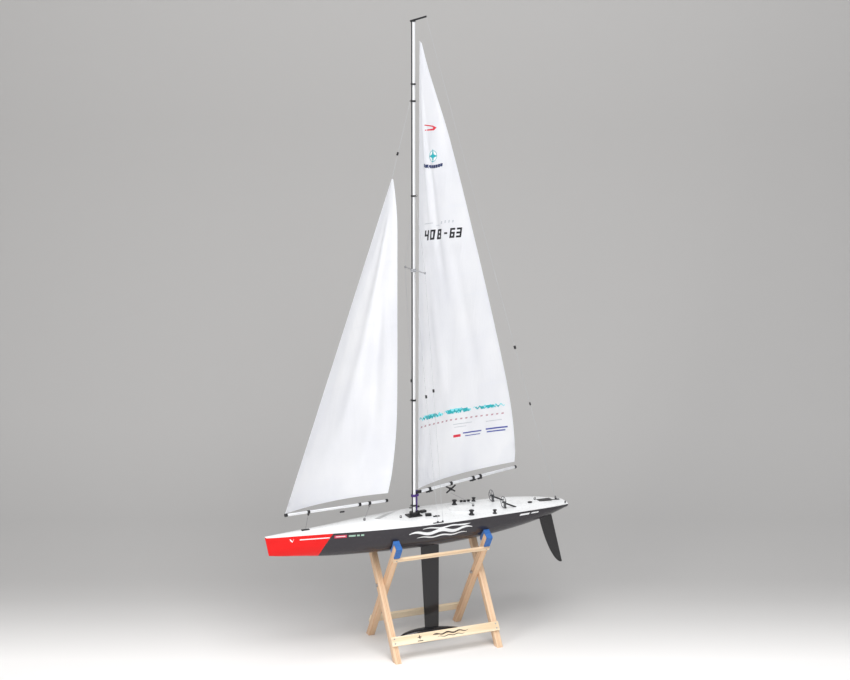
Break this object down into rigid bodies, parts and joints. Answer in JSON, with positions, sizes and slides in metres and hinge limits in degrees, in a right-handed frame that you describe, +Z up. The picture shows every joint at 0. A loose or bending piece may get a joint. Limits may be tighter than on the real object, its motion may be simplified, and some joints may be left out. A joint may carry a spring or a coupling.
{
  "type": "rc boat",
  "caption": "One-metre radio-controlled racing yacht with mainsail and jib, standing in a folding wooden cradle with blue foam pads.",
  "frame": {"origin": "centre of the bounding box in plan, on the floor that the cradle's feet stand on", "axes": "+Z up, along the mast; -X towards the bow; +Y towards starboard"},
  "size_m": [0.9954, 0.2868, 1.9082],
  "materials": {
    "pine": "satin",
    "pine_rail": "satin",
    "blue_foam": "matte",
    "bolt_steel": "satin",
    "hull_gloss": "gloss",
    "deck_white": "gloss",
    "inner_plastic": "matte",
    "fin_black": "gloss",
    "ballast": "satin",
    "brass": "satin",
    "tray_ply": "matte",
    "servo_black": "matte",
    "cell_green": "gloss",
    "fitting_black": "satin",
    "mast_alloy": "satin",
    "spreader_alloy": "satin",
    "rod_violet": "satin",
    "line_grey": "matte",
    "horn_white": "satin",
    "rod_steel": "satin",
    "wheel_grey": "gloss",
    "boom_white": "satin",
    "sail_cloth": "satin"
  },
  "bodies": {
    "stand": {"outer_leg_fore": "pine", "outer_leg_aft": "pine", "outer_bottom_rail": "pine_rail", "outer_top_rail": "pine_rail", "outer_pad_fore": "blue_foam", "outer_pad_aft": "blue_foam", "cross_bolt_fore": "bolt_steel", "cross_bolt_aft": "bolt_steel", "outer_rail_screws": "bolt_steel"},
    "hull": {"hull_shell": "hull_gloss", "deck": "deck_white", "hatch_frame": "deck_white", "keel_trunk": "inner_plastic", "keel_fin": "fin_black", "ballast_bulb": "ballast", "keel_nut": "bolt_steel", "rudder_tube": "brass", "servo_tray": "tray_ply", "rudder_servo": "servo_black", "winch_servo": "servo_black", "receiver": "servo_black", "battery_box": "servo_black", "battery_cells": "cell_green", "mast_step": "fitting_black", "mast": "mast_alloy", "masthead_crane": "fitting_black", "spreaders": "spreader_alloy", "gooseneck": "rod_violet", "mast_fittings": "fitting_black", "standing_rigging": "line_grey", "rigging_bowsies": "fitting_black", "chainplates": "fitting_black", "deck_fittings": "fitting_black", "deck_winches": "fitting_black", "helm_pedestals": "fitting_black", "stern_fittings": "fitting_black", "sheets": "line_grey"},
    "stand_inner": {"inner_leg_fore": "pine", "inner_leg_aft": "pine", "inner_bottom_rail": "pine_rail", "inner_top_rail": "pine_rail", "inner_pad_fore": "blue_foam", "inner_pad_aft": "blue_foam", "inner_rail_screws": "bolt_steel"},
    "rudder": {"rudder_blade": "fin_black", "tiller_arm": "fitting_black"},
    "servo_horn": {"servo_horn": "horn_white"},
    "rudder_pushrod": {"rudder_pushrod": "rod_steel"},
    "winch_drum": {"winch_drum": "horn_white"},
    "helm_wheel_port": {"helm_wheel_port": "wheel_grey"},
    "helm_wheel_starboard": {"helm_wheel_starboard": "wheel_grey"},
    "hatch_lid": {"hatch_lid": "deck_white"},
    "switch_slider": {"switch_slider": "fitting_black"},
    "main_boom": {"main_boom": "boom_white", "main_boom_fittings": "fitting_black", "mainsail": "sail_cloth"},
    "jib_boom": {"jib_boom": "boom_white", "jib_boom_fittings": "fitting_black", "jib": "sail_cloth", "jib_halyard": "line_grey"}
  },
  "joints": [
    {"name": "boat_lift", "type": "slide", "parent": "stand", "child": "hull", "axis": [0, 0, 1], "range_m": [0, 1]},
    {"name": "stand_fold", "type": "hinge", "parent": "stand", "child": "stand_inner", "pos_m": [0.038, 0, 0.204], "axis": [1, 0, 0], "range_deg": [-63, 0]},
    {"name": "rudder_turn", "type": "hinge", "parent": "hull", "child": "rudder", "pos_m": [0.423, 0, 0.392], "axis": [-0.247, 0, 0.969], "range_deg": [-35, 35]},
    {"name": "servo_turn", "type": "hinge", "parent": "hull", "child": "servo_horn", "pos_m": [0.36486, 0, 0.37718], "axis": [-0.247, 0, 0.969], "range_deg": [-35, 35]},
    {"name": "pushrod_pivot", "type": "hinge", "parent": "servo_horn", "child": "rudder_pushrod", "pos_m": [0.36486, 0.016, 0.37718], "axis": [-0.247, 0, 0.969], "range_deg": [-35, 35]},
    {"name": "winch_turn", "type": "hinge", "parent": "hull", "child": "winch_drum", "pos_m": [0.088, 0, 0.3884], "axis": [0, 0, 1], "continuous": true},
    {"name": "port_wheel_turn", "type": "hinge", "parent": "hull", "child": "helm_wheel_port", "pos_m": [0.265, -0.042, 0.43], "axis": [1, 0, 0], "continuous": true},
    {"name": "starboard_wheel_turn", "type": "hinge", "parent": "hull", "child": "helm_wheel_starboard", "pos_m": [0.265, 0.042, 0.43], "axis": [1, 0, 0], "continuous": true},
    {"name": "hatch_lift", "type": "slide", "parent": "hull", "child": "hatch_lid", "axis": [0, 0, 1], "range_m": [0, 0.016]},
    {"name": "switch_slide", "type": "slide", "parent": "hull", "child": "switch_slider", "axis": [1, 0, 0], "range_m": [0, 0.0042]},
    {"name": "main_boom_swing", "type": "hinge", "parent": "hull", "child": "main_boom", "pos_m": [-0.01, 0, 0.482], "axis": [0, 0, 1], "range_deg": [-72, 33]},
    {"name": "jib_boom_swing", "type": "hinge", "parent": "hull", "child": "jib_boom", "pos_m": [-0.361, 0, 0.453], "axis": [0.2661, 0, 0.964], "range_deg": [-54.5, 45.5]}
  ],
  "couplings": [
    {"joint": "stand_fold", "follows": "boat_lift", "rad_per_m": -1.0996},
    {"joint": "rudder_turn", "follows": "servo_turn", "ratio": 1},
    {"joint": "pushrod_pivot", "follows": "servo_turn", "ratio": -1}
  ]
}
